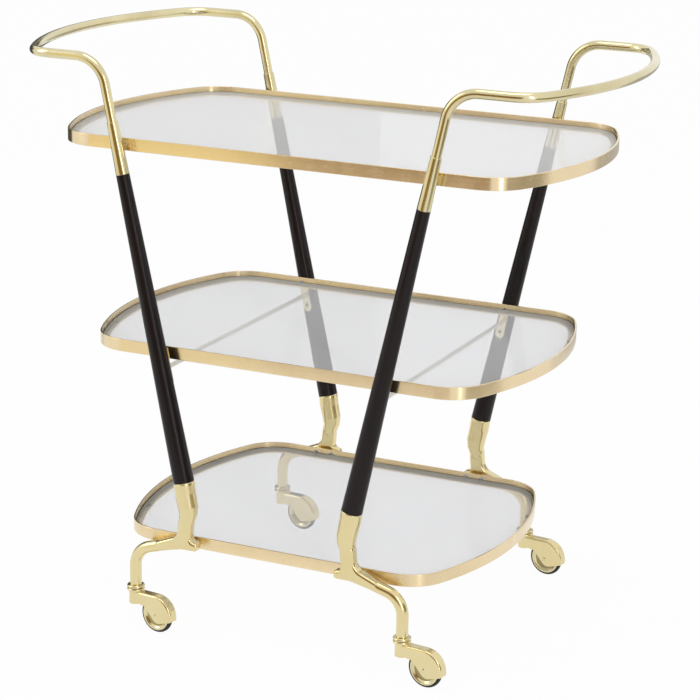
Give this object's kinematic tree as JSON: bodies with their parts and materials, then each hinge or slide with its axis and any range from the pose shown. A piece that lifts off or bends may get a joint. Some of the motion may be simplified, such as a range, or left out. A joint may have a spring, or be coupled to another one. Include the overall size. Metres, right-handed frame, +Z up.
{
  "type": "dessert trolley",
  "caption": "Dessert trolley with tiers of glass trays in bowed brass bands, leaning dark legs, looped brass handles at both ends and hooded swivel casters.",
  "frame": {"origin": "on the floor, under the middle of the trolley", "axes": "+X along the trays, towards the right-hand handle; +Y across the trays, towards the back; +Z up"},
  "size_m": [0.7918, 0.4589, 0.751],
  "materials": {
    "satin_brass": "brushed lengthwise, satin",
    "polished_brass": "polished and lacquered",
    "cast_brass": "cast, polished and lacquered",
    "ebonised_wood": "ebonised, semi-gloss lacquer",
    "clear_glass": "clear float glass with ground edges",
    "soft_pad": "translucent soft pad",
    "steel": "plain turned steel",
    "tyre": "black solid rubber"
  },
  "bodies": {
    "trolley_frame": {"top_band": "satin_brass", "top_glass": "clear_glass", "top_glass_pads": "soft_pad", "top_band_screws": "steel", "middle_band": "satin_brass", "middle_glass": "clear_glass", "middle_glass_pads": "soft_pad", "middle_band_screws": "steel", "bottom_band": "satin_brass", "bottom_glass": "clear_glass", "bottom_glass_pads": "soft_pad", "bottom_band_screws": "steel", "handle_right": "polished_brass", "handle_left": "polished_brass", "cross_rod_right": "polished_brass", "cross_rod_left": "polished_brass", "rod_brackets": "polished_brass", "top_spacers": "polished_brass", "handle_studs": "steel", "foot_studs": "steel", "leg_front_left": "ebonised_wood", "sleeve_front_left": "polished_brass", "foot_casting_front_left": "cast_brass", "kingpin_front_left": "steel", "swivel_collar_front_left": "polished_brass", "leg_front_right": "ebonised_wood", "sleeve_front_right": "polished_brass", "foot_casting_front_right": "cast_brass", "kingpin_front_right": "steel", "swivel_collar_front_right": "polished_brass", "leg_back_left": "ebonised_wood", "sleeve_back_left": "polished_brass", "foot_casting_back_left": "cast_brass", "kingpin_back_left": "steel", "swivel_collar_back_left": "polished_brass", "leg_back_right": "ebonised_wood", "sleeve_back_right": "polished_brass", "foot_casting_back_right": "cast_brass", "kingpin_back_right": "steel", "swivel_collar_back_right": "polished_brass"},
    "caster_front_left": {"caster_hood_front_left": "cast_brass", "axle_front_left": "polished_brass"},
    "wheel_set_front_left": {"wheel_front_left": "polished_brass", "tyre_front_left": "tyre"},
    "caster_front_right": {"caster_hood_front_right": "cast_brass", "axle_front_right": "polished_brass"},
    "wheel_set_front_right": {"wheel_front_right": "polished_brass", "tyre_front_right": "tyre"},
    "caster_back_left": {"caster_hood_back_left": "cast_brass", "axle_back_left": "polished_brass"},
    "wheel_set_back_left": {"wheel_back_left": "polished_brass", "tyre_back_left": "tyre"},
    "caster_back_right": {"caster_hood_back_right": "cast_brass", "axle_back_right": "polished_brass"},
    "wheel_set_back_right": {"wheel_back_right": "polished_brass", "tyre_back_right": "tyre"}
  },
  "joints": [
    {"name": "front_left_swivel", "type": "hinge", "parent": "trolley_frame", "child": "caster_front_left", "pos_m": [-0.19, -0.2137, 0.0523], "axis": [0, 0, 1], "continuous": true},
    {"name": "front_left_roll", "type": "hinge", "parent": "caster_front_left", "child": "wheel_set_front_left", "pos_m": [-0.15455, -0.21995, 0.024], "axis": [0.1736, 0.9848, 0], "continuous": true},
    {"name": "front_right_swivel", "type": "hinge", "parent": "trolley_frame", "child": "caster_front_right", "pos_m": [0.19, -0.2137, 0.0523], "axis": [0, 0, 1], "continuous": true},
    {"name": "front_right_roll", "type": "hinge", "parent": "caster_front_right", "child": "wheel_set_front_right", "pos_m": [0.22545, -0.21995, 0.024], "axis": [0.1736, 0.9848, 0], "continuous": true},
    {"name": "back_left_swivel", "type": "hinge", "parent": "trolley_frame", "child": "caster_back_left", "pos_m": [-0.19, 0.2137, 0.0523], "axis": [0, 0, 1], "continuous": true},
    {"name": "back_left_roll", "type": "hinge", "parent": "caster_back_left", "child": "wheel_set_back_left", "pos_m": [-0.15455, 0.20745, 0.024], "axis": [0.1736, 0.9848, 0], "continuous": true},
    {"name": "back_right_swivel", "type": "hinge", "parent": "trolley_frame", "child": "caster_back_right", "pos_m": [0.19, 0.2137, 0.0523], "axis": [0, 0, 1], "continuous": true},
    {"name": "back_right_roll", "type": "hinge", "parent": "caster_back_right", "child": "wheel_set_back_right", "pos_m": [0.22545, 0.20745, 0.024], "axis": [0.1736, 0.9848, 0], "continuous": true}
  ]
}
